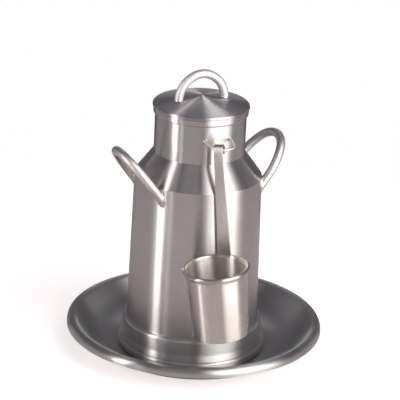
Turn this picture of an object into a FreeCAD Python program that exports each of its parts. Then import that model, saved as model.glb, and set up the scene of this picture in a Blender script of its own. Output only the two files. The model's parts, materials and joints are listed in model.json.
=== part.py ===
import FreeCAD, Part
import math
import os

# A churn-shaped drinks vessel in pewter, with a loose lid, two bent-rod side handles and a measuring
# ladle that hangs from a wire ring at the neck. It stands in a dished round tray.
#
# Frame: millimetres, +Z up, origin on the vessel's axis, on the plane of the tray's underside. The side
# handles point along +X and -X, and the ladle ring is on the -Y side. Heights called "level" are above
# the tray's well, where the foot of the vessel stands.

V = FreeCAD.Vector

# tray: one spun sheet, flat in the middle, with a dished side and a rim rolled over outwards. The loose
# vessel stands a little off its centre.
tray_sheet = 1.5
tray_well_radius = 64.0
tray_wall_angle = 50.0
tray_crest_radius = 98.6
tray_crest_level = 22.1
tray_crest_round = 5.0
tray_skirt_angle = 88.0
tray_skirt_drop = 6.6
tray_shift_x = 1.7
tray_shift_y = -1.0

# foot: hollow stepped ring with a bead flange
foot_sheet = 1.5
foot_level = 24.7
foot_shelf_width = 4.6
ledge_width = 3.1
ledge_drop = 0.9
ledge_round = 1.9
cove_height = 5.4
cove_depth = 1.6
bead_height = 6.2
bead_depth = 3.2
bead_groove = 0.4
bead_round = 1.95

# body: slightly tapered wall, cone shoulder, straight neck with a flared lip
body_sheet = 1.5
body_foot_radius = 53.2
shoulder_radius = 50.7
shoulder_level = 146.8
shoulder_round = 0.9
shoulder_flange = 1.4
neck_radius = 36.2
neck_base_level = 166.1
neck_top_level = 196.6
lip_depth = 1.4
mouth_level = 202.75
lip_round = 1.1
floor_sheet = 1.6

# side handles: round rod bent to an arch in a plane that leans outwards, soldered to the body wall
rod_diameter = 7.0
handle_half_width = 24.6
handle_straight = 7.8
handle_rise = 33.0
handle_top_radius = 20.4
handle_lean = 52.7
handle_foot_below_shoulder = 7.5
handle_end = 1.0

# ladle ring: wire staple on the neck
wire_diameter = 2.2
ring_half_width = 10.9
ring_past_shoulder = 1.95
ring_front_radius = 9.4
ring_below_mouth = 17.45
ring_droop = 5.0
ring_turn = 2.7
ring_end = 1.0

# lid: shallow cone with a rounded rim, a plug collar and a bent-rod handle
lid_overhang = 0.8
lid_rim_height = 2.3
lid_rim_round = 1.7
lid_edge_round = 0.6
lid_cone_rise = 6.9
lid_sheet = 1.5
collar_clearance = 0.35
collar_sheet = 1.4
collar_depth = 8.0
lid_handle_half_width = 19.1
lid_handle_rise = 20.4
lid_handle_top_radius = 15.8
lid_handle_turn = 5.0

# ladle: strap with a hook, slightly tapered cup with a rolled bead
strap_thickness = 1.5
strap_top_width = 6.9
strap_rim_width = 10.7
strap_overlap = 14.0
hook_inner_radius = 2.6
hook_tail = 4.5
hook_set_back = 0.3
strap_drop = 86.7
cup_top_radius = 23.9
cup_narrowing = 1.5
cup_depth = 53.8
cup_sheet = 1.2
cup_floor_rise = 0.8
cup_bead_radius = 1.6
cup_bead_overhang = 0.9
cup_bead_slope = 50.0
cup_bead_fillet = 3.5
cup_bead_edge = 0.15
ladle_turn = 42.0
ladle_side_lean = 6.1
ladle_clearance = 0.8
ladle_steepest_lean = 30.0

# solder: thin collars where rods and wires meet sheet, and a film behind the ladle's strap
solder_spread = 0.8
solder_height = 1.1
wire_solder_spread = 0.5
wire_solder_height = 0.6
solder_film = 0.15
strap_solder_width = 0.9

# values worked out from the driving dimensions
seat = tray_sheet
rod_radius = rod_diameter / 2
wire_radius = wire_diameter / 2
cup_bottom_radius = cup_top_radius - cup_narrowing


def rise(angle):
    """Rise over run of a line at an angle in degrees."""
    return math.tan(math.radians(angle))


def turned(corners):
    """Solid of revolution about Z from a closed section of (radius, height, rounding) corners."""
    points = [V(radius, 0, height) for radius, height, _ in corners]
    edges = []
    starts = []
    ends = []
    middles = []
    for index, (_, _, rounding) in enumerate(corners):
        here = points[index]
        before = (points[index - 1] - here).normalize()
        after = (points[(index + 1) % len(points)] - here).normalize()
        half_turn = before.getAngle(after) / 2
        trim = rounding / math.tan(half_turn)
        bisector = (before + after).normalize() if rounding else V(0, 0, 0)
        starts.append(here + before * trim)
        ends.append(here + after * trim)
        middles.append(here + bisector * (rounding / math.sin(half_turn) - rounding))
    for index, (_, _, rounding) in enumerate(corners):
        if rounding:
            edges.append(Part.Arc(starts[index], middles[index], ends[index]).toShape())
        following = starts[(index + 1) % len(points)]
        if (following - ends[index]).Length > 1e-6:
            edges.append(Part.LineSegment(ends[index], following).toShape())
    face = Part.Face(Part.Wire(Part.__sortEdges__(edges)))
    return face.revolve(V(0, 0, 0), V(0, 0, 1), 360)


def arch(half_width, rise_height, top_radius, section_radius, straight):
    """Round rod bent to a three-centre arch in the XZ plane, with straight legs and rounded ends.

    The rounded ends are centred at z = 0 and the bend starts at z = straight."""
    over = rise_height - top_radius
    side_radius = (half_width ** 2 + over ** 2 - top_radius ** 2) / (2 * (half_width - top_radius))
    side_centre = side_radius - half_width
    side_angle = math.degrees(math.atan2(over, side_centre))
    across = V(0, 1, 0)
    up = V(0, 0, 1)
    bends = [
        (V(side_centre, 0, straight), side_angle),
        (V(0, 0, straight + over), 180 - 2 * side_angle),
        (V(-side_centre, 0, straight), side_angle),
    ]
    disc = Part.Face(Part.Wire(Part.makeCircle(section_radius, V(-half_width, 0, 0), up)))
    pieces = [disc.extrude(up * straight)]
    disc.translate(up * straight)
    for centre, angle in bends:
        pieces.append(disc.revolve(centre, across, angle))
        disc = disc.rotated(centre, across, angle)
    pieces.append(disc.extrude(up * -straight))
    for side in (-1, 1):
        pieces.append(Part.makeSphere(section_radius, V(side * half_width, 0, 0)))
    return pieces[0].fuse(pieces[1:]).removeSplitter()


def set_in_plane(shape, origin, across, up):
    """Copy of a shape made in the XZ plane, with X along across, Z along up and its origin moved."""
    depth = up.cross(across)
    frame = FreeCAD.Matrix(
        across.x, depth.x, up.x, origin.x,
        across.y, depth.y, up.y, origin.y,
        across.z, depth.z, up.z, origin.z,
        0, 0, 0, 1)
    return shape.transformed(frame, True)


def solids_of(shape):
    """Compound of a shape's solids, so that a group of separate pieces is written as such."""
    return Part.makeCompound(shape.Solids)


def soldered(bend, frame, sheet, grown_sheet, spread):
    """A bent rod set in its plane and trimmed to the sheet, and the collars of solder round its feet.

    The collars are what a rod thicker by spread fills between the sheet and its grown copy."""
    half_width, rise_height, top_radius, section_radius, straight = bend
    rod = set_in_plane(arch(*bend), *frame)
    thicker = arch(half_width, rise_height, top_radius, section_radius + spread, straight)
    collars = set_in_plane(thicker, *frame).common(grown_sheet).cut(sheet).cut(rod)
    return rod.cut(sheet), solids_of(collars)


def body_radius(level):
    """Outer radius of the tapered body wall at a level above the tray's well."""
    share = (level - foot_level) / (shoulder_level - foot_level)
    return body_foot_radius + (shoulder_radius - body_foot_radius) * share


def make_tray():
    """Spun tray: constant sheet from the flat well over the dished side and the crest to the edge."""
    wall = math.radians(tray_wall_angle)
    crest_z = seat + tray_crest_level - tray_crest_round
    top = V(tray_crest_radius - tray_crest_round * math.sin(wall), 0, crest_z + tray_crest_round * math.cos(wall))
    foot = top.x - (top.z - seat) / math.tan(wall)
    wall_round = (foot - tray_well_radius) / math.tan(wall / 2)
    skirt = math.radians(tray_skirt_angle)
    skirt_touch_x = tray_crest_radius + tray_crest_round * math.sin(skirt)
    skirt_touch_z = crest_z + tray_crest_round * math.cos(skirt)
    corner_x = (
        skirt_touch_z - top.z + top.x * math.tan(wall) + skirt_touch_x * math.tan(skirt)
    ) / (math.tan(wall) + math.tan(skirt))
    corner_z = top.z + (corner_x - top.x) * math.tan(wall)
    edge_z = seat + tray_crest_level - tray_skirt_drop
    edge_x = skirt_touch_x + (skirt_touch_z - edge_z) / math.tan(skirt)
    upper = [(0, seat, 0), (foot, seat, wall_round), (corner_x, corner_z, tray_crest_round), (edge_x, edge_z, 0)]
    # underside: every line moved by the sheet thickness, every rounding by as much
    sheet = tray_sheet
    under_foot = foot + sheet * math.tan(wall / 2)
    half_crest = (math.pi - wall - skirt) / 2
    reach = sheet / math.sin(half_crest)
    lean = (wall - skirt) / 2
    under_corner_x = corner_x + reach * math.sin(lean)
    under_corner_z = corner_z - reach * math.cos(lean)
    under_edge_x = edge_x - sheet * math.sin(skirt)
    under_edge_z = edge_z - sheet * math.cos(skirt)
    lower = [
        (under_edge_x, under_edge_z, 0),
        (under_corner_x, under_corner_z, tray_crest_round - sheet),
        (under_foot, seat - sheet, wall_round + sheet),
        (0, seat - sheet, 0),
    ]
    return turned(upper + lower).translated(V(tray_shift_x, tray_shift_y, 0))


def make_foot_ring():
    """Hollow stepped foot: shelf under the body, ledge, straight side, cove, groove and bead."""
    top = seat + foot_level
    side = body_foot_radius + ledge_width
    inside = side - foot_sheet
    shelf_inside = body_foot_radius - foot_shelf_width
    bead = side + bead_depth
    return turned([
        (shelf_inside, top, 0),
        (body_foot_radius, top, 0),
        (side, top - ledge_drop, ledge_round),
        (side, seat + bead_height + cove_height, cove_height),
        (side + cove_depth, seat + bead_height + bead_groove, 0),
        (side + cove_depth - bead_groove, seat + bead_height, 0),
        (bead, seat + bead_height, bead_round),
        (bead, seat, bead_round),
        (bead - foot_sheet - bead_round, seat, 0),
        (inside, seat + bead_height, 0),
        (inside, top - ledge_drop - foot_sheet, 0),
        (shelf_inside, top - foot_sheet, 0),
    ])


def make_churn_floor():
    """Disc soldered inside the foot of the body wall, with its edge on the wall's taper."""
    level = foot_level
    low = body_radius(level) - body_sheet
    high = body_radius(level + floor_sheet) - body_sheet
    return Part.makeCone(low, high, floor_sheet, V(0, 0, seat + level))


def make_body_wall():
    """Tapered wall from the foot's shelf to just under the shoulder corner."""
    top_level = shoulder_level - shoulder_flange
    return turned([
        (body_radius(foot_level), seat + foot_level, 0),
        (body_radius(top_level), seat + top_level, 0),
        (body_radius(top_level) - body_sheet, seat + top_level, 0),
        (body_radius(foot_level) - body_sheet, seat + foot_level, 0),
    ])


def make_shoulder():
    """Cone shoulder with a short flange down to the body wall and a rounded corner."""
    bottom_level = shoulder_level - shoulder_flange
    slope = math.atan2(neck_base_level - shoulder_level, shoulder_radius - neck_radius)
    cone_wall = body_sheet / math.sin(slope)
    inner_corner_drop = (cone_wall - body_sheet) * math.tan(slope)
    inner_corner_level = shoulder_level - inner_corner_drop
    return turned([
        (body_radius(bottom_level), seat + bottom_level, 0),
        (shoulder_radius, seat + shoulder_level, shoulder_round),
        (neck_radius, seat + neck_base_level, 0),
        (neck_radius - cone_wall, seat + neck_base_level, 0),
        (body_radius(inner_corner_level) - body_sheet, seat + inner_corner_level, 0),
        (body_radius(bottom_level) - body_sheet, seat + bottom_level, 0),
    ])


def make_neck():
    """Straight neck tube."""
    return turned([
        (neck_radius, seat + neck_base_level, 0),
        (neck_radius, seat + neck_top_level, 0),
        (neck_radius - body_sheet, seat + neck_top_level, 0),
        (neck_radius - body_sheet, seat + neck_base_level, 0),
    ])


def make_lip():
    """Flared lip on the neck, with a flat top for the lid."""
    inside = neck_radius - body_sheet
    outside = neck_radius + lip_depth
    return turned([
        (inside, seat + neck_top_level, 0),
        (neck_radius, seat + neck_top_level, 0),
        (outside, seat + neck_top_level + lip_depth, lip_round / 2),
        (outside, seat + mouth_level, lip_round),
        (inside, seat + mouth_level, 0),
    ])


def body_envelope(growth):
    """Solid outer form of body, shoulder and neck, with its radii grown."""
    return turned([
        (0, seat + foot_level, 0),
        (body_foot_radius + growth, seat + foot_level, 0),
        (shoulder_radius + growth, seat + shoulder_level, shoulder_round),
        (neck_radius + growth, seat + neck_base_level, 0),
        (neck_radius + growth, seat + neck_top_level, 0),
        (0, seat + neck_top_level, 0),
    ])


def make_side_handle():
    """The +X handle and its solder."""
    lean = math.radians(handle_lean)
    level = shoulder_level - handle_foot_below_shoulder
    foot = V(math.sqrt(body_radius(level) ** 2 - handle_half_width ** 2), 0, seat + level)
    up = V(math.cos(lean), 0, math.sin(lean))
    frame = (foot - up * handle_end, V(0, 1, 0), up)
    bend = (handle_half_width, handle_rise, handle_top_radius, rod_radius, handle_end + handle_straight)
    return soldered(bend, frame, body_envelope(0), body_envelope(solder_height), solder_spread)


def ring_chord():
    """Distance from the vessel's axis to the line between the ring's feet on the neck."""
    return math.sqrt(neck_radius ** 2 - ring_half_width ** 2)


def ring_reach():
    """Length of the ring from its feet to its front, which stands a little past the shoulder."""
    return (shoulder_radius + ring_past_shoulder - ring_chord()) / math.cos(math.radians(ring_droop))


def ring_frame():
    """Origin and axes of the plane in which the ladle ring is bent; its origin is between its feet."""
    droop = math.radians(ring_droop)
    turn = math.radians(ring_turn)
    outward = V(-math.sin(turn), -math.cos(turn), 0)
    origin = outward * ring_chord() + V(0, 0, seat + mouth_level - ring_below_mouth)
    across = V(-math.cos(turn), math.sin(turn), 0)
    return origin, across, outward * math.cos(droop) - V(0, 0, math.sin(droop))


def make_ladle_ring():
    """Wire staple on the neck and its solder."""
    origin, across, up = ring_frame()
    frame = (origin - up * ring_end, across, up)
    bend = (ring_half_width, ring_reach(), ring_front_radius, wire_radius, ring_end)
    return soldered(bend, frame, body_envelope(0), body_envelope(wire_solder_height), wire_solder_spread)


def lid_levels():
    """Heights of the lid's underside, rim corner and apex, and its rim radius."""
    under = seat + mouth_level
    corner = under + lid_rim_height
    return under, corner, corner + lid_cone_rise, neck_radius + lip_depth + lid_overhang


def make_lid_cap():
    """Shallow cone over the mouth, with a thick rounded rim that rests on the lip."""
    under, corner, apex, rim = lid_levels()
    hollow = neck_radius - body_sheet - collar_clearance - collar_sheet
    slope = lid_cone_rise / rim
    return turned([
        (0, apex, 0),
        (rim, corner, lid_rim_round),
        (rim, under, lid_edge_round),
        (hollow, under, 0),
        (hollow, apex - slope * hollow - lid_sheet, 0),
        (0, apex - lid_sheet, 0),
    ])


def make_lid_collar():
    """Plug collar that centres the lid in the neck."""
    under = lid_levels()[0]
    outside = neck_radius - body_sheet - collar_clearance
    inside = outside - collar_sheet
    return turned([
        (inside, under, 0),
        (outside, under, 0),
        (outside, under - collar_depth, collar_sheet / 3),
        (inside, under - collar_depth, 0),
    ])


def lid_form(growth):
    """Solid outer form of the lid, with its top raised."""
    under, corner, apex, rim = lid_levels()
    return turned([(0, apex + growth, 0), (rim, corner + growth, 0), (rim, under, 0), (0, under, 0)])


def make_lid_handle():
    """Bent-rod handle that stands across the cone, and its solder."""
    turn = math.radians(lid_handle_turn)
    under, corner, apex, rim = lid_levels()
    surface = apex - lid_cone_rise * lid_handle_half_width / rim
    foot = under + rod_radius
    straight = surface - foot
    frame = (V(0, 0, foot), V(math.cos(turn), -math.sin(turn), 0), V(0, 0, 1))
    bend = (lid_handle_half_width, lid_handle_rise, lid_handle_top_radius, rod_radius, straight)
    return soldered(bend, frame, lid_form(0), lid_form(solder_height), solder_spread)


def ladle_pivot():
    """Point on the ring wire where the hook hangs."""
    origin, across, up = ring_frame()
    turn = math.radians(ladle_turn)
    turn_on_ring = math.radians(ladle_turn - ring_turn)
    along = ring_reach() - ring_front_radius + ring_front_radius * math.cos(turn_on_ring)
    aside = ring_front_radius * math.sin(turn_on_ring)
    outward = V(-math.sin(turn), -math.cos(turn), 0)
    return origin + across * aside + up * along - outward * hook_set_back


def ladle_axes(in_lean):
    """Outwards, along the hook axis, and up the strap, for a lean of the hanging ladle towards the body."""
    turn = math.radians(ladle_turn)
    outward = V(-math.sin(turn), -math.cos(turn), 0)
    sideways = V(math.cos(turn), -math.sin(turn), 0)
    strap_up = V(0, 0, 1) - sideways * rise(ladle_side_lean) + outward * rise(in_lean)
    strap_up.normalize()
    hook_axis = sideways - strap_up * sideways.dot(strap_up)
    hook_axis.normalize()
    return hook_axis.cross(strap_up), hook_axis, strap_up


def ladle_gap(in_lean):
    """Least gap between the body and the hanging ladle: its bead, its bottom edge and its strap."""
    face, _, strap_up = ladle_axes(in_lean)
    pivot = ladle_pivot()
    shoulder_drop = (pivot.z - seat - shoulder_level) / strap_up.z
    against = hook_inner_radius + strap_thickness + solder_film
    rounds = [
        (against + cup_top_radius, strap_drop, cup_top_radius + cup_bead_overhang + cup_bead_radius),
        (against + cup_top_radius, strap_drop + cup_depth, cup_bottom_radius),
        (hook_inner_radius, shoulder_drop, 0),
    ]
    gaps = []
    for out, drop, radius in rounds:
        centre = pivot + face * out - strap_up * drop
        gaps.append(math.hypot(centre.x, centre.y) - radius - body_radius(centre.z - seat))
    return min(gaps)


def ladle_frame():
    """Hook axis point and the ladle's axes, leaned in until it hangs a named clearance off the body."""
    steep, flat = ladle_steepest_lean, -ladle_steepest_lean
    for _ in range(40):
        middle = (steep + flat) / 2
        if ladle_gap(middle) < ladle_clearance:
            steep = middle
        else:
            flat = middle
    return (ladle_pivot(),) + ladle_axes((steep + flat) / 2)


def set_on_ladle(shape):
    """Copy of a ladle piece, moved from its own frame (X outwards, Y along the hook, Z up) to the ring."""
    pivot, face, hook_axis, strap_up = ladle_frame()
    frame = FreeCAD.Matrix(
        face.x, hook_axis.x, strap_up.x, pivot.x,
        face.y, hook_axis.y, strap_up.y, pivot.y,
        face.z, hook_axis.z, strap_up.z, pivot.z,
        0, 0, 0, 1)
    return shape.transformed(frame, True)


def make_strap():
    """Flat strap, wider towards the cup, with its top bent over the ring wire as a hook."""
    inner = hook_inner_radius
    outer = hook_inner_radius + strap_thickness
    bottom = -strap_drop - strap_overlap
    below = bottom - strap_thickness
    edges = [
        Part.LineSegment(V(outer, 0, bottom), V(outer, 0, 0)).toShape(),
        Part.Arc(V(outer, 0, 0), V(0, 0, outer), V(-outer, 0, 0)).toShape(),
        Part.LineSegment(V(-outer, 0, 0), V(-outer, 0, -hook_tail)).toShape(),
        Part.LineSegment(V(-outer, 0, -hook_tail), V(-inner, 0, -hook_tail)).toShape(),
        Part.LineSegment(V(-inner, 0, -hook_tail), V(-inner, 0, 0)).toShape(),
        Part.Arc(V(-inner, 0, 0), V(0, 0, inner), V(inner, 0, 0)).toShape(),
        Part.LineSegment(V(inner, 0, 0), V(inner, 0, bottom)).toShape(),
        Part.LineSegment(V(inner, 0, bottom), V(outer, 0, bottom)).toShape(),
    ]
    side_view = Part.Face(Part.Wire(edges))
    side_view.translate(V(0, -strap_rim_width, 0))
    plate = side_view.extrude(V(0, 2 * strap_rim_width, 0))
    widening = (strap_rim_width - strap_top_width) / 2 / strap_drop
    top_half = strap_top_width / 2
    bottom_half = top_half - widening * below
    front = [
        V(-2 * outer, -top_half, 2 * outer),
        V(-2 * outer, -top_half, 0),
        V(-2 * outer, -bottom_half, below),
        V(-2 * outer, bottom_half, below),
        V(-2 * outer, top_half, 0),
        V(-2 * outer, top_half, 2 * outer),
    ]
    front_view = Part.Face(Part.makePolygon(front + [front[0]]))
    return plate.common(front_view.extrude(V(4 * outer, 0, 0)))


def set_on_cup(shape):
    """Copy of a cup piece made about Z with the rim at z = 0, leaned so that its wall runs down the strap."""
    taper = math.atan2(cup_top_radius - cup_bottom_radius, cup_depth)
    against = hook_inner_radius + strap_thickness + solder_film
    up = V(math.sin(taper), 0, math.cos(taper))
    out = V(math.cos(taper), 0, -math.sin(taper))
    centre = V(against, 0, -strap_drop) + out * cup_top_radius
    frame = FreeCAD.Matrix(
        out.x, 0, up.x, centre.x,
        out.y, 1, up.y, centre.y,
        out.z, 0, up.z, centre.z,
        0, 0, 0, 1)
    return shape.transformed(frame, True)


def cup_radius(depth):
    """Outer radius of the cup's wall at a depth below its rim."""
    return cup_top_radius + (cup_bottom_radius - cup_top_radius) * depth / cup_depth


def make_cup_wall():
    """Tapered cup wall with a rounded bottom edge."""
    return set_on_cup(turned([
        (cup_radius(0), 0, 0),
        (cup_radius(cup_depth), -cup_depth, cup_sheet / 2),
        (cup_radius(cup_depth) - cup_sheet, -cup_depth, 0),
        (cup_radius(0) - cup_sheet, 0, 0),
    ]))


def make_cup_floor():
    """Disc that closes the cup a little above its bottom edge."""
    low_depth = cup_depth - cup_floor_rise
    high_depth = low_depth - cup_sheet
    low = cup_radius(low_depth) - cup_sheet
    high = cup_radius(high_depth) - cup_sheet
    return set_on_cup(Part.makeCone(low, high, cup_sheet, V(0, 0, -low_depth)))


def make_cup_bead(wall):
    """Rolled bead round the cup's rim, faired into the wall below it and notched where the strap passes."""
    ring = cup_top_radius + cup_bead_overhang
    inside, outside = ring - cup_bead_radius, ring + cup_bead_radius
    slope = math.radians(cup_bead_slope)
    turn_down = cup_bead_radius * math.tan(slope / 2)
    fairing_x = cup_top_radius + cup_bead_edge
    fairing_z = -turn_down - (outside - fairing_x) / math.tan(slope)
    low = fairing_z - cup_bead_fillet * math.tan(slope / 2) - cup_bead_edge
    bead = set_on_cup(turned([
        (inside, 0, 0),
        (inside, cup_bead_radius, cup_bead_radius),
        (outside, cup_bead_radius, cup_bead_radius),
        (outside, -turn_down, cup_bead_radius),
        (fairing_x, fairing_z, cup_bead_fillet),
        (fairing_x, low, 0),
        (cup_radius(-low) - cup_sheet / 2, low, 0),
        (cup_top_radius - cup_sheet / 2, 0, 0),
    ]))
    half = strap_rim_width / 2
    reach = 2 * cup_bead_radius + cup_sheet
    face = hook_inner_radius + strap_thickness
    notch = Part.makeBox(2 * reach, 2 * half, 3 * reach, V(face - 2 * reach, -half, -strap_drop - 2 * reach))
    return bead.cut(wall).cut(notch)


def make_strap_solder(strap, wall, bead):
    """Solder between the strap and the cup's wall, up to the bead."""
    face = hook_inner_radius + strap_thickness
    half = strap_rim_width / 2 + strap_solder_width
    length = strap_overlap - cup_bead_radius
    block = Part.makeBox(half, 2 * half, length, V(face, -half, -strap_drop - strap_overlap))
    cup = set_on_cup(Part.makeCone(cup_bottom_radius, cup_top_radius, cup_depth, V(0, 0, -cup_depth)))
    return solids_of(block.cut(cup).cut(wall).cut(strap).cut(bead))


def make_all():
    """Every named piece of the object."""
    handle, handle_solder = make_side_handle()
    opposite = (V(0, 0, 0), V(0, 0, 1), 180)
    ring, ring_solder = make_ladle_ring()
    lid_handle, lid_handle_solder = make_lid_handle()
    strap = make_strap()
    cup_wall = make_cup_wall()
    bead = make_cup_bead(cup_wall)
    return {
        "tray": make_tray(),
        "foot_ring": make_foot_ring(),
        "churn_floor": make_churn_floor(),
        "body_wall": make_body_wall(),
        "shoulder_cone": make_shoulder(),
        "neck_tube": make_neck(),
        "mouth_lip": make_lip(),
        "handle_right": handle,
        "handle_right_solder": handle_solder,
        "handle_left": handle.rotated(*opposite),
        "handle_left_solder": handle_solder.rotated(*opposite),
        "ladle_ring": ring,
        "ladle_ring_solder": ring_solder,
        "lid_cap": make_lid_cap(),
        "lid_collar": make_lid_collar(),
        "lid_handle": lid_handle,
        "lid_handle_solder": lid_handle_solder,
        "ladle_strap": set_on_ladle(strap),
        "ladle_cup_wall": set_on_ladle(cup_wall),
        "ladle_cup_floor": set_on_ladle(make_cup_floor()),
        "ladle_rim_bead": set_on_ladle(bead),
        "ladle_strap_solder": set_on_ladle(make_strap_solder(strap, cup_wall, bead)),
    }


def main():
    """Write one STEP file for each piece and print what the record needs."""
    os.makedirs("parts", exist_ok=True)
    for name, shape in make_all().items():
        shape.exportStep("parts/" + name + ".step")
        box = shape.BoundBox
        print(name, len(shape.Solids), "solid(s)", shape.isValid(), "volume", round(shape.Volume, 1),
              "z", round(box.ZMin, 2), round(box.ZMax, 2))
    pivot, _, hook_axis, _ = ladle_frame()
    print("ladle hinge at", pivot, "axis", hook_axis)


main()
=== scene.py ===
# %% [markdown]
# # A pewter churn with its lid, ladle and tray
# The object is a drinks vessel shaped like a milk churn. It stands in a round dished tray, has a loose
# lid, two side handles bent from round rod, and a measuring ladle that hangs from a wire ring. The frame
# that is loaded first holds the box of every piece and the joints they move by. The tray and the ladle
# take their places from it, and each finished piece is printed beside its box.

# %% Load the frame and keep its box
import bpy
import json
import math
import numpy
from mathutils import Matrix, Vector
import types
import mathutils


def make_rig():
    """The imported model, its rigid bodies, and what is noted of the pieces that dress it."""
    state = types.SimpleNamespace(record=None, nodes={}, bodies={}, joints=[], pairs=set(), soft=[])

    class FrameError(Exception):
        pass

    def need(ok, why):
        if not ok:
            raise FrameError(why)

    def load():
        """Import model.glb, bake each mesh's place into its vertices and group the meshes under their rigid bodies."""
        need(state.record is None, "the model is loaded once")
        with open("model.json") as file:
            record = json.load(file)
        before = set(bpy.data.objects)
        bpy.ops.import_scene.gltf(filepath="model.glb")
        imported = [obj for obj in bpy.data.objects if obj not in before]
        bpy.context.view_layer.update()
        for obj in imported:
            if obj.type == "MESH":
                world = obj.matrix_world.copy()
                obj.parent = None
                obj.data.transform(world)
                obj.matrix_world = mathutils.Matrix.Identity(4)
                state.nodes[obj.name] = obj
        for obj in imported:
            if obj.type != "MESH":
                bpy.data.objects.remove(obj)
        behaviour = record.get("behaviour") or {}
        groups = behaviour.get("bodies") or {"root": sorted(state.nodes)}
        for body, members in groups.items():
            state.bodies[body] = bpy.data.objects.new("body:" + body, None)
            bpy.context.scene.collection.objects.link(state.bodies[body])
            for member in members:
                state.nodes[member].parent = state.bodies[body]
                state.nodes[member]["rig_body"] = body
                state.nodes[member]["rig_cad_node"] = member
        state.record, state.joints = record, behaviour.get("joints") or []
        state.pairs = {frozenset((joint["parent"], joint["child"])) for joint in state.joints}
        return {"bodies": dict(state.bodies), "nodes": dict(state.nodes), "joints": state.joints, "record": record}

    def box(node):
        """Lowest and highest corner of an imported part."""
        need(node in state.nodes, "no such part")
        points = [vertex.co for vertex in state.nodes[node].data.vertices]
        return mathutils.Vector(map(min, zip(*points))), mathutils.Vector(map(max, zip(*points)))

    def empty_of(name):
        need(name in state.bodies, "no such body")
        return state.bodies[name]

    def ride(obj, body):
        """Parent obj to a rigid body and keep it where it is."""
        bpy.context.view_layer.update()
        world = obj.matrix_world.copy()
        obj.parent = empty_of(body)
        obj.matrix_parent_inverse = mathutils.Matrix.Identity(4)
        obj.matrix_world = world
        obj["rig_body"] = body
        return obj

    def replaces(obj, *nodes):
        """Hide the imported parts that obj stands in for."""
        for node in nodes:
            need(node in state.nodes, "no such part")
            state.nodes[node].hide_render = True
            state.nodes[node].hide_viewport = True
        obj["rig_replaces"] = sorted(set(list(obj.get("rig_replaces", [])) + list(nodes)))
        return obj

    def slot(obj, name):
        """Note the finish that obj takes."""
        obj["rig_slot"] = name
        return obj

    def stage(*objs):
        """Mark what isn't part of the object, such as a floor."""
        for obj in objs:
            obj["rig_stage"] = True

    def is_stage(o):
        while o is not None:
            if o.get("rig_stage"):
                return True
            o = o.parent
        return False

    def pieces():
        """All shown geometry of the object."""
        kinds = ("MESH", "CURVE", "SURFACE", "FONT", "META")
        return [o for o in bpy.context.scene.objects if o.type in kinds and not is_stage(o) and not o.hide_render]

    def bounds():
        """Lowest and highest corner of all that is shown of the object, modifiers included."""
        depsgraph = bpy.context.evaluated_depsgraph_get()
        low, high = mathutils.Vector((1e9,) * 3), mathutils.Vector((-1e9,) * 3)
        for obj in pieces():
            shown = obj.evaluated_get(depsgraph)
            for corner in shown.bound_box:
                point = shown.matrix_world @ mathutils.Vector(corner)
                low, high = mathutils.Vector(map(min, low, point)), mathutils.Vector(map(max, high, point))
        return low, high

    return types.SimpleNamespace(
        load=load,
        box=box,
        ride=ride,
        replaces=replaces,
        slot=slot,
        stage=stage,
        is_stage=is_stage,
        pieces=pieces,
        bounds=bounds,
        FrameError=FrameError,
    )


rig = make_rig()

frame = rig.load()
cad_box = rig.bounds()
print("frame holds", len(frame["nodes"]), "nodes on", len(frame["bodies"]), "bodies")

# %% [markdown]
# ## Ways of working
# Sizes are written in millimetres and turned into metres when a mesh is made.
# An operator works on everything that is selected, so each piece starts with nothing selected.

# %% Millimetres and clean starts
MM = 0.001


def start_clean():
    """Leave edit mode and select nothing."""
    if bpy.context.object and bpy.context.object.mode != "OBJECT":
        bpy.ops.object.mode_set(mode="OBJECT")
    bpy.ops.object.select_all(action="DESELECT")


def pick_all():
    """Select every point of the mesh that is being edited."""
    bpy.ops.mesh.select_all(action="SELECT")


def start_point(name, place):
    """New mesh of one corner point, in edit mode: a small plane merged to its centre and moved."""
    start_clean()
    bpy.ops.mesh.primitive_plane_add(size=MM)
    piece = bpy.context.object
    piece.name = name
    bpy.ops.object.mode_set(mode="EDIT")
    pick_all()
    bpy.ops.mesh.merge(type="CENTER")
    bpy.ops.transform.translate(value=place)
    return piece


# %% [markdown]
# ## Section lines
# Spun sheet metal is drawn as a section: a line of corners, most of them rounded. A rounded corner is a
# true arc here, because a polished corner shows any flat in it. A bevel on the finished mesh could do it
# too, but nearly every corner has a roundness of its own. An extra point a short way before and after
# each arc keeps the shading of the straight runs beside it flat.

# %% Round the corners of a section line
ARC_STEP = math.radians(9)
FEWEST_STEPS = 3
HOLD = 0.12


def section_line(corners):
    """Points of a closed section, in millimetres, from corners of (radius, height, rounding)."""
    points = []
    for index, (radius, height, rounding) in enumerate(corners):
        here = Vector((radius, height))
        if not rounding:
            points.append(here)
            continue
        before = (Vector(corners[index - 1][:2]) - here).normalized()
        after = (Vector(corners[(index + 1) % len(corners)][:2]) - here).normalized()
        half = before.angle(after) / 2
        trim = rounding / math.tan(half)
        centre = here + (before + after).normalized() * (rounding / math.sin(half))
        spoke = here + before * trim - centre
        turn = math.pi - 2 * half
        sign = 1 if before.cross(after) < 0 else -1
        steps = max(FEWEST_STEPS, math.ceil(turn / ARC_STEP))
        points.append(here + before * (trim + HOLD))
        for step in range(steps + 1):
            points.append(centre + spoke @ Matrix.Rotation(-sign * turn * step / steps, 2))
        points.append(here + after * (trim + HOLD))
    return points


print("a round corner takes", len(section_line([(9, 0, 0), (0, 0, 1), (0, 9, 0)])) - 2, "points")

# %% [markdown]
# ## Spinning
# Pewter ware of this shape is spun: a sheet disc is pressed over a turning former. A screw modifier could
# turn a section too, but the spin operator leaves a plain mesh, ready to be mapped and mitred.
# The section is drawn by extruding one corner point from place to place, then spun once round the axis.
# After the spin, doubled points are merged, which also closes the seam, and faces are turned outwards.

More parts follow.
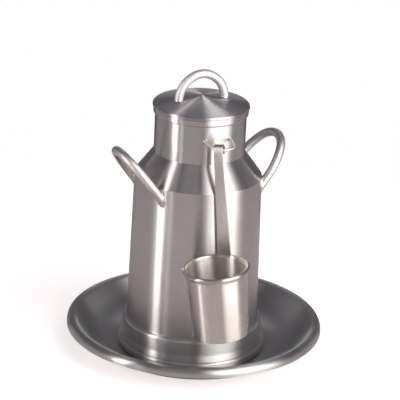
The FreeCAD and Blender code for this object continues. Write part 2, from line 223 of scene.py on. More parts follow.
# %% Spin a section
SPIN_STEPS = 180
ON_AXIS = 1e-6
MERGE_GAP = 0.002


def draw_on(x, z):
    """Extrude the selected point by a step, in metres."""
    bpy.ops.mesh.extrude_vertices_move(TRANSFORM_OT_translate={"value": (x, 0, z)})


def draw_line(line):
    """Extrude the selected point from the first place of a section line to all the others."""
    for here, there in zip(line, line[1:]):
        step = (there - here) * MM
        draw_on(step.x, step.y)


def spin_section(name, corners):
    """Solid turned about Z from closed section corners; one that meets the axis is left open there."""
    line = section_line(corners)
    piece = start_point(name, (line[0].x * MM, 0, line[0].y * MM))
    meets_axis = line[0].x < ON_AXIS and line[-1].x < ON_AXIS
    draw_line(line if meets_axis else line + line[:1])
    pick_all()
    bpy.ops.mesh.spin(steps=SPIN_STEPS, angle=math.tau, center=(0, 0, 0), axis=(0, 0, 1))
    close_up()
    map_turned(piece, line, meets_axis)
    return piece


def close_up():
    """Merge doubled points, turn the faces outwards and leave edit mode."""
    pick_all()
    bpy.ops.mesh.remove_doubles(threshold=MERGE_GAP * MM)
    pick_all()
    bpy.ops.mesh.normals_make_consistent(inside=False)
    bpy.ops.object.mode_set(mode="OBJECT")


# %% [markdown]
# ## A map that follows the tool
# The polishing wheel leaves fine lines round the axis. To draw them, and to stretch highlights across
# them, each piece gets a UV map: U runs along the section, V once round the axis. An automatic unwrap
# would cut the piece into islands and lose that direction. U is in tenths of a metre.

# %% Maps for turned pieces and for rods
MAP_UNIT = 0.1
POLE_GAP = 1e-7


def write_map(piece, along, around, length):
    """Write U and V from per-point values, and carry them on past the places where they start again."""
    mesh = piece.data
    layer = mesh.uv_layers.new(name="brushing")
    values = numpy.zeros((len(mesh.loops), 2))
    for face in mesh.polygons:
        corners = list(face.loop_indices)
        points = [mesh.loops[corner].vertex_index for corner in corners]
        u = [along[point] for point in points]
        v = [around[point] for point in points]
        known = [value for value in v if value is not None]
        if max(known) - min(known) > 0.5:
            v = [value + 1 if value is not None and value < 0.5 else value for value in v]
            known = [value for value in v if value is not None]
        v = [sum(known) / len(known) if value is None else value for value in v]
        if length and max(u) - min(u) > length / 2:
            u = [value + length if value < length / 2 else value for value in u]
        for corner, u_value, v_value in zip(corners, u, v):
            values[corner] = (u_value / MAP_UNIT, v_value)
    layer.data.foreach_set("uv", values.ravel())


def map_turned(piece, line, open_line):
    """Map of a piece turned about Z: U is the length along its section line."""
    stations = numpy.array([(point.x * MM, point.y * MM) for point in line])
    steps = numpy.linalg.norm(numpy.diff(stations, axis=0), axis=1)
    lengths = numpy.concatenate([[0], numpy.cumsum(steps)])
    places = numpy.array([point.co[:] for point in piece.data.vertices])
    radii = numpy.hypot(places[:, 0], places[:, 1])
    gaps = numpy.hypot(radii[:, None] - stations[:, 0], places[:, 2:3] - stations[:, 1])
    nearest = gaps.argmin(axis=1)
    along = [float(lengths[index]) for index in nearest]
    around = [
        None if radius < POLE_GAP else (math.atan2(place[1], place[0]) / math.tau) % 1
        for radius, place in zip(radii, places)
    ]
    closing = 0 if open_line else float(lengths[-1] + numpy.linalg.norm(stations[0] - stations[-1]))
    write_map(piece, along, around, closing)


# %% [markdown]
# ## Finishing a piece
# Each finished piece is shaded smooth except over real corners, is told which body it moves with, which
# part of the frame it stands for, and which named finish it takes.

# %% Hand a piece over
def finish_piece(piece, node, body, finish, crease=32):
    """Smooth shading up to a crease angle, then body, frame node and finish by name."""
    start_clean()
    piece.select_set(True)
    bpy.context.view_layer.objects.active = piece
    bpy.ops.object.shade_smooth_by_angle(angle=math.radians(crease))
    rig.ride(piece, body)
    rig.replaces(piece, node)
    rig.slot(piece, finish)
    heights = [point.co.z / MM for point in piece.data.vertices]
    low, high = (Vector(corner).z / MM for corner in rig.box(node))
    print(piece.name, "faces", len(piece.data.polygons), "height", round(min(heights), 2), "to",
          round(max(heights), 2), "frame", round(low, 2), "to", round(high, 2))


# %% [markdown]
# ## The tray
# One spun sheet: flat where the churn stands, a dished side, and a rim rolled over outwards. A thickness
# modifier on one face could make it too. Here both faces are in the section, so the rim's edge is square
# to the sheet, and every roundness of the underside is the upper one plus or minus the sheet.

# %% Tray
SHEET = 1.5
SEAT = SHEET
TRAY_WALL = math.radians(50)
TRAY_SKIRT = math.radians(88)
TRAY_CREST_RADIUS = 98.6
TRAY_CREST_LEVEL = 22.1
TRAY_CREST_ROUND = 5.0
TRAY_WELL_RADIUS = 64.0
TRAY_SKIRT_DROP = 6.6


def tray_corners():
    """Section of the tray, upper face from the middle to the edge, then the underside back."""
    crest_z = SEAT + TRAY_CREST_LEVEL - TRAY_CREST_ROUND
    top, touch = (
        Vector((TRAY_CREST_RADIUS + TRAY_CREST_ROUND * math.sin(turn),
                crest_z + TRAY_CREST_ROUND * math.cos(turn)))
        for turn in (-TRAY_WALL, TRAY_SKIRT)
    )
    foot = top.x - (top.y - SEAT) / math.tan(TRAY_WALL)
    wall_round = (foot - TRAY_WELL_RADIUS) / math.tan(TRAY_WALL / 2)
    wall_slope, skirt_slope = math.tan(TRAY_WALL), math.tan(TRAY_SKIRT)
    drop = touch.y - top.y
    corner_x = (drop + top.x * wall_slope + touch.x * skirt_slope) / (wall_slope + skirt_slope)
    corner_z = top.y + (corner_x - top.x) * wall_slope
    edge_z = SEAT + TRAY_CREST_LEVEL - TRAY_SKIRT_DROP
    edge_x = touch.x + (touch.y - edge_z) / skirt_slope
    reach = SHEET / math.sin((math.pi - TRAY_WALL - TRAY_SKIRT) / 2)
    lean = (TRAY_WALL - TRAY_SKIRT) / 2
    return [
        (0, SEAT, 0),
        (foot, SEAT, wall_round),
        (corner_x, corner_z, TRAY_CREST_ROUND),
        (edge_x, edge_z, 0),
        (edge_x - SHEET * math.sin(TRAY_SKIRT), edge_z - SHEET * math.cos(TRAY_SKIRT), 0),
        (corner_x + reach * math.sin(lean), corner_z - reach * math.cos(lean), TRAY_CREST_ROUND - SHEET),
        (foot + SHEET * math.tan(TRAY_WALL / 2), 0, wall_round + SHEET),
        (0, 0, 0),
    ]


tray = spin_section("Tray", tray_corners())
tray_low, tray_high = (Vector(corner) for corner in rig.box("tray"))
tray_middle = Vector(((tray_low.x + tray_high.x) / 2, (tray_low.y + tray_high.y) / 2, 0))
tray.data.transform(Matrix.Translation(tray_middle))
print("tray's middle, from the churn's axis", [round(value / MM, 2) for value in tray_middle])
finish_piece(tray, "tray", "tray", "tray_pewter", crease=40)

# %% [markdown]
# ## The foot
# The foot is a hollow stepped ring: a ledge under the body, a straight side, a cove, a small groove and
# a rounded bead that stands on the tray. Rings could be stacked to the same shape, but one section keeps
# the metal in one piece.

# %% Foot ring
FOOT_TOP = SEAT + 24.7
BODY_FOOT_RADIUS = 53.2
SHELF_RADIUS = BODY_FOOT_RADIUS - 4.6
FOOT_SIDE = BODY_FOOT_RADIUS + 3.1
LEDGE_DROP = 0.9
LEDGE_ROUND = 1.9
COVE_HEIGHT = 5.4
COVE_DEPTH = 1.6
GROOVE = 0.4
BEAD_TOP = SEAT + 6.2
BEAD_RADIUS = FOOT_SIDE + 3.2
BEAD_ROUND = 1.95
foot_ring = spin_section("Foot_ring", [
    (SHELF_RADIUS, FOOT_TOP, 0),
    (BODY_FOOT_RADIUS, FOOT_TOP, 0),
    (FOOT_SIDE, FOOT_TOP - LEDGE_DROP, LEDGE_ROUND),
    (FOOT_SIDE, BEAD_TOP + COVE_HEIGHT, COVE_HEIGHT),
    (FOOT_SIDE + COVE_DEPTH, BEAD_TOP + GROOVE, 0),
    (FOOT_SIDE + COVE_DEPTH - GROOVE, BEAD_TOP, 0),
    (BEAD_RADIUS, BEAD_TOP, BEAD_ROUND),
    (BEAD_RADIUS, SEAT, BEAD_ROUND),
    (BEAD_RADIUS - SHEET - BEAD_ROUND, SEAT, 0),
    (FOOT_SIDE - SHEET, BEAD_TOP, 0),
    (FOOT_SIDE - SHEET, FOOT_TOP - LEDGE_DROP - SHEET, 0),
    (SHELF_RADIUS, FOOT_TOP - SHEET, 0),
])
finish_piece(foot_ring, "foot_ring", "churn", "churn_pewter")

# %% [markdown]
# ## Body, floor, shoulder, neck and lip
# These were spun one by one and soldered together. The body narrows a little towards the shoulder, the
# shoulder is a cone with a rounded corner, and the lip flares out under the lid. One long section would
# make them in one go, but as pieces of their own they keep the crisp joint lines of the real vessel.

# %% Body wall and floor
SHOULDER_RADIUS = 50.7
SHOULDER_LEVEL = 146.8
SHOULDER_ROUND = 0.9
FLANGE_LEVEL = SHOULDER_LEVEL - 1.4
FLOOR_SHEET = 1.6
WALL_BANDS = 12
NECK_RADIUS = 36.2
NECK_BASE = SEAT + 166.1
NECK_TOP = SEAT + 196.6
MOUTH = SEAT + 202.75


def body_radius(height):
    """Outer radius of the tapered body wall at a height above the ground."""
    share = (height - FOOT_TOP) / (SEAT + SHOULDER_LEVEL - FOOT_TOP)
    return BODY_FOOT_RADIUS + (SHOULDER_RADIUS - BODY_FOOT_RADIUS) * share


def in_steps(start, end, count):
    """Corners on a straight run, so that a long wall is made of a few bands."""
    return [
        (start[0] + (end[0] - start[0]) * step / count, start[1] + (end[1] - start[1]) * step / count, 0)
        for step in range(count + 1)
    ]


body_top = SEAT + FLANGE_LEVEL
foot_radius, top_radius = body_radius(FOOT_TOP), body_radius(body_top)
outside = in_steps((foot_radius, FOOT_TOP), (top_radius, body_top), WALL_BANDS)
inside = in_steps((top_radius - SHEET, body_top), (foot_radius - SHEET, FOOT_TOP), WALL_BANDS)
body_wall = spin_section("Body_wall", outside + inside)
finish_piece(body_wall, "body_wall", "churn", "churn_pewter")

FLOOR_TOP = FOOT_TOP + FLOOR_SHEET
churn_floor = spin_section("Churn_floor", [
    (0, FOOT_TOP, 0),
    (foot_radius - SHEET, FOOT_TOP, 0),
    (body_radius(FLOOR_TOP) - SHEET, FLOOR_TOP, 0),
    (0, FLOOR_TOP, 0),
])
finish_piece(churn_floor, "churn_floor", "churn", "churn_pewter")

# %% Shoulder, neck and lip
slope = math.atan2(NECK_BASE - SEAT - SHOULDER_LEVEL, SHOULDER_RADIUS - NECK_RADIUS)
cone_wall = SHEET / math.sin(slope)
inner_corner = SEAT + SHOULDER_LEVEL - (cone_wall - SHEET) * math.tan(slope)
shoulder = spin_section("Shoulder_cone", [
    (top_radius, body_top, 0),
    (SHOULDER_RADIUS, SEAT + SHOULDER_LEVEL, SHOULDER_ROUND),
    (NECK_RADIUS, NECK_BASE, 0),
    (NECK_RADIUS - cone_wall, NECK_BASE, 0),
    (body_radius(inner_corner) - SHEET, inner_corner, 0),
    (top_radius - SHEET, body_top, 0),
])
finish_piece(shoulder, "shoulder_cone", "churn", "churn_pewter")

neck = spin_section("Neck_tube", [
    (NECK_RADIUS, NECK_BASE, 0),
    (NECK_RADIUS, NECK_TOP, 0),
    (NECK_RADIUS - SHEET, NECK_TOP, 0),
    (NECK_RADIUS - SHEET, NECK_BASE, 0),
])
finish_piece(neck, "neck_tube", "churn", "churn_pewter")

LIP_DEPTH = 1.4
LIP_ROUND = 1.1
lip = spin_section("Mouth_lip", [
    (NECK_RADIUS - SHEET, NECK_TOP, 0),
    (NECK_RADIUS, NECK_TOP, 0),
    (NECK_RADIUS + LIP_DEPTH, NECK_TOP + LIP_DEPTH, LIP_ROUND / 2),
    (NECK_RADIUS + LIP_DEPTH, MOUTH, LIP_ROUND),
    (NECK_RADIUS - SHEET, MOUTH, 0),
])
finish_piece(lip, "mouth_lip", "churn", "churn_pewter")

# %% [markdown]
# ## The lid
# A shallow cone with a thick rounded rim rests on the lip, and a collar under it keeps it centred. The
# collar could be drawn in the cap's section, but it is taken to be a ring soldered under the cap. Its
# small gap to the neck lets the lid lift off.

# %% Lid cap and collar
LID_CORNER = MOUTH + 2.3
LID_RIM_ROUND = 1.7
LID_EDGE_ROUND = 0.6
LID_RISE = 6.9
LID_RADIUS = NECK_RADIUS + LIP_DEPTH + 0.8
COLLAR_GAP = 0.35
COLLAR_RADIUS = NECK_RADIUS - SHEET - COLLAR_GAP
COLLAR_SHEET = 1.4
COLLAR_DEPTH = 8.0
hollow = COLLAR_RADIUS - COLLAR_SHEET
lid_slope = LID_RISE / LID_RADIUS
lid_cap = spin_section("Lid_cap", [
    (0, LID_CORNER + LID_RISE, 0),
    (LID_RADIUS, LID_CORNER, LID_RIM_ROUND),
    (LID_RADIUS, MOUTH, LID_EDGE_ROUND),
    (hollow, MOUTH, 0),
    (hollow, LID_CORNER + LID_RISE - lid_slope * hollow - SHEET, 0),
    (0, LID_CORNER + LID_RISE - SHEET, 0),
])
finish_piece(lid_cap, "lid_cap", "lid", "lid_pewter")

lid_collar = spin_section("Lid_collar", [
    (hollow, MOUTH, 0),
    (COLLAR_RADIUS, MOUTH, 0),
    (COLLAR_RADIUS, MOUTH - COLLAR_DEPTH, COLLAR_SHEET / 3),
    (hollow, MOUTH - COLLAR_DEPTH, 0),
])
finish_piece(lid_collar, "lid_collar", "lid", "lid_pewter")

# %% [markdown]
# ## Bent rods
# The handles and the ladle's ring are round rod and wire, bent to an arch of three arcs. A curve with a
# round bevel would look alike, but its ends can't be mitred until it is a mesh. So a circle, the rod's
# section, is extruded up one leg, spun round each bend's centre, and extruded down the other leg.

# %% Bend a rod
ROD_RADIUS = 3.5
WIRE_RADIUS = 1.1
ROD_SIDES = 40
WIRE_SIDES = 24
BEND_STEP = math.radians(2)


def arch_bends(half_width, rise, top_radius):
    """Centres, in the arch's own plane above the legs, and angles of its three bends."""
    over = rise - top_radius
    side_radius = (half_width ** 2 + over ** 2 - top_radius ** 2) / (2 * (half_width - top_radius))
    side_centre = side_radius - half_width
    side_angle = math.atan2(over, side_centre)
    top_angle = math.pi - 2 * side_angle
    return [(side_centre, 0, side_angle), (0, over, top_angle), (-side_centre, 0, side_angle)]


def bend_rod(name, radius, half_width, straight, bends, sides=ROD_SIDES):
    """Rod in the XZ plane, its first leg at -half_width and both feet at height 0."""
    start_clean()
    bpy.ops.mesh.primitive_circle_add(vertices=sides, radius=radius * MM, fill_type="NGON",
                                      location=(-half_width * MM, 0, 0))
    rod = bpy.context.object
    rod.name = name
    bpy.ops.object.transform_apply(location=True)
    bpy.ops.object.mode_set(mode="EDIT")
    pick_all()
    bpy.ops.mesh.extrude_region_move(TRANSFORM_OT_translate={"value": (0, 0, straight * MM)})
    for x, z, angle in bends:
        bpy.ops.mesh.spin(steps=math.ceil(angle / BEND_STEP), angle=-angle,
                          center=(x * MM, 0, (straight + z) * MM), axis=(0, 1, 0))
    bpy.ops.mesh.extrude_region_move(TRANSFORM_OT_translate={"value": (0, 0, -straight * MM)})
    close_up()
    map_rod(rod, sides)
    return rod


def map_rod(rod, sides):
    """Map of a rod, whose points come ring by ring: U is the length so far and V the turn."""
    places = numpy.array([point.co[:] for point in rod.data.vertices])
    centres = places.reshape(-1, sides, 3).mean(axis=1)
    steps = numpy.linalg.norm(numpy.diff(centres, axis=0), axis=1)
    lengths = numpy.concatenate([[0], numpy.cumsum(steps)])
    along = [float(lengths[index // sides]) for index in range(len(places))]
    around = [index % sides / sides for index in range(len(places))]
    write_map(rod, along, around, 0)


# %% [markdown]
# ## Setting a rod on its sheet
# A rod that meets a curved wall at a slant is mitred to it. A boolean could cut it, but would add corners
# of its own to the rings that the map counts on. Here every corner of the end rings slides along the leg
# until it is a little under the wall's face, so no gap shows and nothing comes out inside. The solder is a
# small fillet round each foot: a spun ring whose corners slide to the wall in the same way. Its hollow is
# given in shares of its spread and height.

# %% Place, mitre and solder
UNDER = -0.6
SLIDE_REACH = 14.0
SLIDE_HALVINGS = 40
SOLDER_TUCK = 0.2
SOLDER_EDGE = 0.02
SOLDER_CURVE = ((0.55, 0.16), (0.25, 0.45))


def frame_of(origin, across, up):
    """Matrix from a rod's own plane to its place: X goes along across and Z along up, in millimetres."""
    across, up = Vector(across).normalized(), Vector(up).normalized()
    depth = up.cross(across)
    matrix = Matrix((across, depth, up)).transposed().to_4x4()
    matrix.translation = Vector(origin) * MM
    return matrix


def slide_to(place, direction, outside, wanted):
    """Place moved along a direction until it is a wanted distance, in millimetres, outside a sheet."""
    low, high = -SLIDE_REACH, SLIDE_REACH
    for _ in range(SLIDE_HALVINGS):
        middle = (low + high) / 2
        if outside((place + direction * middle * MM) / MM) < wanted:
            low = middle
        else:
            high = middle
    return place + direction * (low + high) / 2 * MM


def set_rod(rod, matrix, outside, sides=ROD_SIDES):
    """Move a rod to its place and mitre both its ends under the sheet."""
    rod.data.transform(matrix)
    up = matrix.to_3x3() @ Vector((0, 0, 1))
    points = rod.data.vertices
    for index in list(range(sides)) + list(range(len(points) - sides, len(points))):
        points[index].co = slide_to(points[index].co.copy(), up, outside, UNDER)


def solder_feet(name, half_width, radius, spread, height, matrix, outside):
    """Fillet of solder round both feet of a rod, as one piece."""
    up = matrix.to_3x3() @ Vector((0, 0, 1))
    collars = []
    for side in (-1, 1):
        collar = spin_section(name, [
            (radius - SOLDER_TUCK, UNDER, 0),
            (radius + spread, UNDER, 0),
            (radius + spread, SOLDER_EDGE, 0),
            *[(radius + spread * out, height * up_share, 0) for out, up_share in SOLDER_CURVE],
            (radius + SOLDER_EDGE, height, 0),
            (radius - SOLDER_TUCK, height, 0),
        ])
        for point in collar.data.vertices:
            foot = matrix @ Vector((point.co.x + side * half_width * MM, point.co.y, 0))
            point.co = slide_to(foot, up, outside, point.co.z / MM)
        collars.append(collar)
    start_clean()
    for collar in collars:
        collar.select_set(True)
    bpy.context.view_layer.objects.active = collars[0]
    bpy.ops.object.join()
    collars[0].name = name
    return collars[0]


# %% [markdown]
# ## The side handles
# Each handle stands in a plane that leans outwards, with both feet on the body wall just under the
# shoulder. The left one is the right one turned half round, so one loop makes both and their solder. A
# mirror modifier would give the same shape, but both handles in one piece.

# %% Side handles
HANDLE_HALF_WIDTH = 24.6
HANDLE_RISE = 33.0
HANDLE_TOP_RADIUS = 20.4
HANDLE_LEAN = math.radians(52.7)
HANDLE_END = 1.0
HANDLE_STRAIGHT = 7.8 + HANDLE_END
HANDLE_FOOT = SEAT + SHOULDER_LEVEL - 7.5
ROD_SOLDER_SPREAD = 0.75
ROD_SOLDER_HEIGHT = 1.0


def outside_body(place):
    """Distance of a place, in millimetres, outside the body wall."""
    return math.hypot(place.x, place.y) - body_radius(place.z)


handle_up = Vector((math.cos(HANDLE_LEAN), 0, math.sin(HANDLE_LEAN)))
handle_chord = math.sqrt(body_radius(HANDLE_FOOT) ** 2 - HANDLE_HALF_WIDTH ** 2)
handle_end = Vector((handle_chord, 0, HANDLE_FOOT)) - handle_up * HANDLE_END
handles = []
handle_solders = []
for side_name, half_turn in (("right", 0), ("left", math.pi)):
    matrix = Matrix.Rotation(half_turn, 4, "Z") @ frame_of(handle_end, (0, 1, 0), handle_up)
    handle = bend_rod("Handle_" + side_name, ROD_RADIUS, HANDLE_HALF_WIDTH, HANDLE_STRAIGHT,
                      arch_bends(HANDLE_HALF_WIDTH, HANDLE_RISE, HANDLE_TOP_RADIUS))
    set_rod(handle, matrix, outside_body)
    finish_piece(handle, "handle_" + side_name, "churn", "rod_pewter", crease=60)
    handles.append(handle)
    solder = solder_feet("Handle_" + side_name + "_solder", HANDLE_HALF_WIDTH, ROD_RADIUS,
                         ROD_SOLDER_SPREAD, ROD_SOLDER_HEIGHT, matrix, outside_body)
    finish_piece(solder, "handle_" + side_name + "_solder", "churn", "solder", crease=60)
    handle_solders.append(solder)

# %% [markdown]
# ## The ladle's ring
# A staple of thin wire on the neck, drooping a little, with its round front standing past the shoulder, so
# that the ladle hangs clear of it. The handles' helper bends it too, from a thinner circle with fewer
# sides.

# %% Ladle ring
RING_HALF_WIDTH = 10.9
RING_PAST_SHOULDER = 1.95
RING_HEIGHT = MOUTH - 17.45
RING_TURN = math.radians(2.7)
RING_DROOP = math.radians(5)
RING_END = 1.0
RING_FRONT = 9.4
WIRE_SOLDER_SPREAD = 0.45
WIRE_SOLDER_HEIGHT = 0.55


def outside_neck(place):
    """Distance of a place, in millimetres, outside the neck."""
    return math.hypot(place.x, place.y) - NECK_RADIUS


ring_out = Vector((-math.sin(RING_TURN), -math.cos(RING_TURN), 0))
ring_across = Vector((-math.cos(RING_TURN), math.sin(RING_TURN), 0))
ring_up = ring_out * math.cos(RING_DROOP) - Vector((0, 0, math.sin(RING_DROOP)))
ring_chord = math.sqrt(NECK_RADIUS ** 2 - RING_HALF_WIDTH ** 2)
ring_reach = (SHOULDER_RADIUS + RING_PAST_SHOULDER - ring_chord) / math.cos(RING_DROOP)
ring_foot = ring_out * ring_chord + Vector((0, 0, RING_HEIGHT))
ring_matrix = frame_of(ring_foot - ring_up * RING_END, ring_across, ring_up)
ring = bend_rod("Ladle_ring", WIRE_RADIUS, RING_HALF_WIDTH, RING_END,
                arch_bends(RING_HALF_WIDTH, ring_reach, RING_FRONT), sides=WIRE_SIDES)
set_rod(ring, ring_matrix, outside_neck, sides=WIRE_SIDES)
finish_piece(ring, "ladle_ring", "churn", "rod_pewter", crease=60)
ring_solder = solder_feet("Ladle_ring_solder", RING_HALF_WIDTH, WIRE_RADIUS, WIRE_SOLDER_SPREAD,
                          WIRE_SOLDER_HEIGHT, ring_matrix, outside_neck)
finish_piece(ring_solder, "ladle_ring_solder", "churn", "solder", crease=60)

# %% [markdown]
# ## The lid's handle
# The same rod as the side handles, bent to a smaller arch that stands across the cone. Its feet meet a
# slope instead of a round wall, so the same helpers are given another measure of being outside.

# %% Lid handle
LID_HANDLE_HALF_WIDTH = 19.1
LID_HANDLE_RISE = 20.4
LID_HANDLE_TOP_RADIUS = 15.8
LID_HANDLE_TURN = math.radians(5)


def outside_lid(place):
    """Height of a place, in millimetres, above the lid's cone."""
    return place.z - (LID_CORNER + LID_RISE - lid_slope * math.hypot(place.x, place.y))


lid_foot = Vector((0, 0, MOUTH + ROD_RADIUS))
lid_straight = LID_CORNER + LID_RISE - lid_slope * LID_HANDLE_HALF_WIDTH - lid_foot.z
lid_across = Vector((math.cos(LID_HANDLE_TURN), -math.sin(LID_HANDLE_TURN), 0))
lid_matrix = frame_of(lid_foot, lid_across, (0, 0, 1))
lid_handle = bend_rod("Lid_handle", ROD_RADIUS, LID_HANDLE_HALF_WIDTH, lid_straight,
                      arch_bends(LID_HANDLE_HALF_WIDTH, LID_HANDLE_RISE, LID_HANDLE_TOP_RADIUS))
set_rod(lid_handle, lid_matrix, outside_lid)
finish_piece(lid_handle, "lid_handle", "lid", "rod_pewter", crease=60)
lid_solder = solder_feet("Lid_handle_solder", LID_HANDLE_HALF_WIDTH, ROD_RADIUS, ROD_SOLDER_SPREAD,
                         ROD_SOLDER_HEIGHT, lid_matrix, outside_lid)
finish_piece(lid_solder, "lid_handle_solder", "lid", "solder", crease=60)

# %% [markdown]
# ## Where the ladle hangs
# The ladle turns about the ring's wire. Its joint in the frame gives the hook's place and axis, which is
# surer than working them out again from the ring. The strap leans a few degrees to the side and, at rest,
# a little in towards the body, because the cup's weight hangs outside the strap.

# %% The ladle's own frame
swing = next(joint for joint in frame["record"]["behaviour"]["joints"] if joint["name"] == "ladle_swing")
hook_place = Vector(swing["pos_m"])
hook_axis = -Vector(swing["axis"]).normalized()
LADLE_TURN = math.radians(42.0)
SIDE_LEAN = math.radians(6.1)
INWARD_LEAN = math.radians(0.545)
ladle_out = Vector((-math.sin(LADLE_TURN), -math.cos(LADLE_TURN), 0))
ladle_side = Vector((math.cos(LADLE_TURN), -math.sin(LADLE_TURN), 0))
strap_up = Vector((0, 0, 1)) - ladle_side * math.tan(SIDE_LEAN) + ladle_out * math.tan(INWARD_LEAN)
strap_up.normalize()
strap_face = hook_axis.cross(strap_up).normalized()
on_ladle = Matrix((strap_face, hook_axis, strap_up)).transposed().to_4x4()
on_ladle.translation = hook_place
print("hook at", [round(value / MM, 2) for value in hook_place])

# %% [markdown]
# ## The ladle's strap
# A flat strap with its top bent over the wire as a hook. A finished bar could be bent, but its faces would
# stretch, so the middle line comes first: the hook is spun, the line is widened into a ribbon that grows
# towards the cup, and the ribbon gets its thickness and soft edges last.

# %% Strap
STRAP_SHEET = 1.5
HOOK_INSIDE = 2.6
STRAP_DROP = 86.7
STRAP_END = STRAP_DROP + 14.0
STRAP_STEPS = 38
STRAP_TOP_HALF = 3.45
STRAP_RIM_HALF = 5.35
STRAP_WIDENING = (STRAP_RIM_HALF - STRAP_TOP_HALF) / STRAP_DROP
STRAP_EDGE = 0.35
HOOK_TAIL = 4.5
TAIL_STEPS = 3
HOOK_STEPS = 16

hook_radius = HOOK_INSIDE + STRAP_SHEET / 2
strap = start_point("Ladle_strap", (-hook_radius * MM, 0, -HOOK_TAIL * MM))
tail_step = HOOK_TAIL / TAIL_STEPS * MM
strap_step = STRAP_END / STRAP_STEPS * MM
for _ in range(TAIL_STEPS):
    draw_on(0, tail_step)
bpy.ops.mesh.spin(steps=HOOK_STEPS, angle=-math.pi, center=(0, 0, 0), axis=(0, 1, 0))
for _ in range(STRAP_STEPS):
    draw_on(0, -strap_step)
pick_all()
bpy.ops.transform.translate(value=(0, -MM, 0))
bpy.ops.mesh.extrude_edges_move(TRANSFORM_OT_translate={"value": (0, 2 * MM, 0)})
pick_all()
bpy.ops.mesh.normals_make_consistent(inside=False)
bpy.ops.object.mode_set(mode="OBJECT")
for point in strap.data.vertices:
    half = STRAP_TOP_HALF * MM - STRAP_WIDENING * min(point.co.z, 0)
    point.co.y = math.copysign(half, point.co.y)
layer = strap.data.uv_layers.new(name="brushing")
for loop in strap.data.loops:
    place = strap.data.vertices[loop.vertex_index].co
    layer.data[loop.index].uv = (place.y / MAP_UNIT, place.z / MAP_UNIT)
thick = strap.modifiers.new("Thickness", "SOLIDIFY")
thick.thickness = STRAP_SHEET * MM
thick.offset = 0
soft = strap.modifiers.new("Soft edges", "BEVEL")
soft.width = STRAP_EDGE * MM
soft.segments = 3
soft.limit_method = "ANGLE"
soft.angle_limit = math.radians(50)
for modifier in ("Thickness", "Soft edges"):
    bpy.ops.object.modifier_apply(modifier=modifier)
strap.data.transform(on_ladle)
finish_piece(strap, "ladle_strap", "ladle", "ladle_pewter", crease=40)

# %% [markdown]
# ## The ladle's cup
# A tapered wall and a floor set a little above its bottom edge. They could be turned about a leaning axis,
# but upright their section is simpler. So they are spun upright, then leaned so that the wall runs down
# the strap, with a film of solder between.

# %% Cup wall and floor
CUP_TOP = 23.9
CUP_BOTTOM = 22.4
CUP_DEPTH = 53.8
CUP_SHEET = 1.2
CUP_EDGE_ROUND = 0.6
CUP_FLOOR_RISE = 0.8
SOLDER_FILM = 0.15
taper = math.atan2(CUP_TOP - CUP_BOTTOM, CUP_DEPTH)
cup_out = Vector((math.cos(taper), 0, -math.sin(taper)))
cup_up = Vector((math.sin(taper), 0, math.cos(taper)))
cup_rim = Vector((HOOK_INSIDE + STRAP_SHEET + SOLDER_FILM, 0, -STRAP_DROP)) + cup_out * CUP_TOP
on_cup = on_ladle @ frame_of(cup_rim, cup_out, cup_up)


def cup_radius(depth):
    """Outer radius of the cup's wall at a depth below its rim."""
    return CUP_TOP + (CUP_BOTTOM - CUP_TOP) * depth / CUP_DEPTH


cup_wall = spin_section("Ladle_cup_wall", [
    (CUP_TOP, 0, 0),
    (CUP_BOTTOM, -CUP_DEPTH, CUP_EDGE_ROUND),
    (CUP_BOTTOM - CUP_SHEET, -CUP_DEPTH, 0),
    (CUP_TOP - CUP_SHEET, 0, 0),
])
cup_wall.data.transform(on_cup)
finish_piece(cup_wall, "ladle_cup_wall", "ladle", "ladle_pewter")

floor_low = CUP_DEPTH - CUP_FLOOR_RISE
floor_high = floor_low - CUP_SHEET
cup_floor = spin_section("Ladle_cup_floor", [
    (0, -floor_low, 0),
    (cup_radius(floor_low) - CUP_SHEET, -floor_low, 0),
    (cup_radius(floor_high) - CUP_SHEET, -floor_high, 0),
    (0, -floor_high, 0),
])
cup_floor.data.transform(on_cup)
finish_piece(cup_floor, "ladle_cup_floor", "ladle", "ladle_pewter")

# %% [markdown]
# ## The cup's bead
# The rim is rolled outwards to a bead, which is faired into the wall below it and stops on each side of the
# strap. A torus would give the roll but not the fairing, so the bead has a section of its own. That is
# filled with a face and spun by less than a full turn, so both ends are closed.

# %% Rim bead
BEAD_SECTION = 1.6
BEAD_OVERHANG = 0.9
BEAD_SLOPE = math.radians(50)
BEAD_FILLET = 3.5
BEAD_STEPS = 150
FAIR_EDGE = 0.04
FAIR_RUN = 0.05
FAIR_TUCK = 0.1
bead_ring = CUP_TOP + BEAD_OVERHANG
bead_in, bead_out = bead_ring - BEAD_SECTION, bead_ring + BEAD_SECTION
turn_down = BEAD_SECTION * math.tan(BEAD_SLOPE / 2)
fair_radius = CUP_TOP + FAIR_EDGE
fair_height = -turn_down - (bead_out - fair_radius) / math.tan(BEAD_SLOPE)
fair_end = fair_height - BEAD_FILLET * math.tan(BEAD_SLOPE / 2) - FAIR_RUN
bead_line = section_line([
    (CUP_TOP - CUP_SHEET / 2, 0, 0),
    (bead_in, 0, 0),
    (bead_in, BEAD_SECTION, BEAD_SECTION),
    (bead_out, BEAD_SECTION, BEAD_SECTION),
    (bead_out, -turn_down, BEAD_SECTION),
    (fair_radius, fair_height, BEAD_FILLET),
    (fair_radius, fair_end, 0),
    (cup_radius(-fair_end) - FAIR_TUCK, fair_end, 0),
])
notch = math.asin(STRAP_RIM_HALF / bead_ring)
bead = start_point("Ladle_rim_bead", (bead_line[0].x * MM, 0, bead_line[0].y * MM))
draw_line(bead_line + bead_line[:1])
pick_all()
bpy.ops.mesh.remove_doubles(threshold=MERGE_GAP * MM)
pick_all()
bpy.ops.mesh.edge_face_add()
bpy.ops.object.mode_set(mode="OBJECT")
bead.data.transform(Matrix.Rotation(math.pi + notch, 4, "Z"))
bpy.ops.object.mode_set(mode="EDIT")
pick_all()
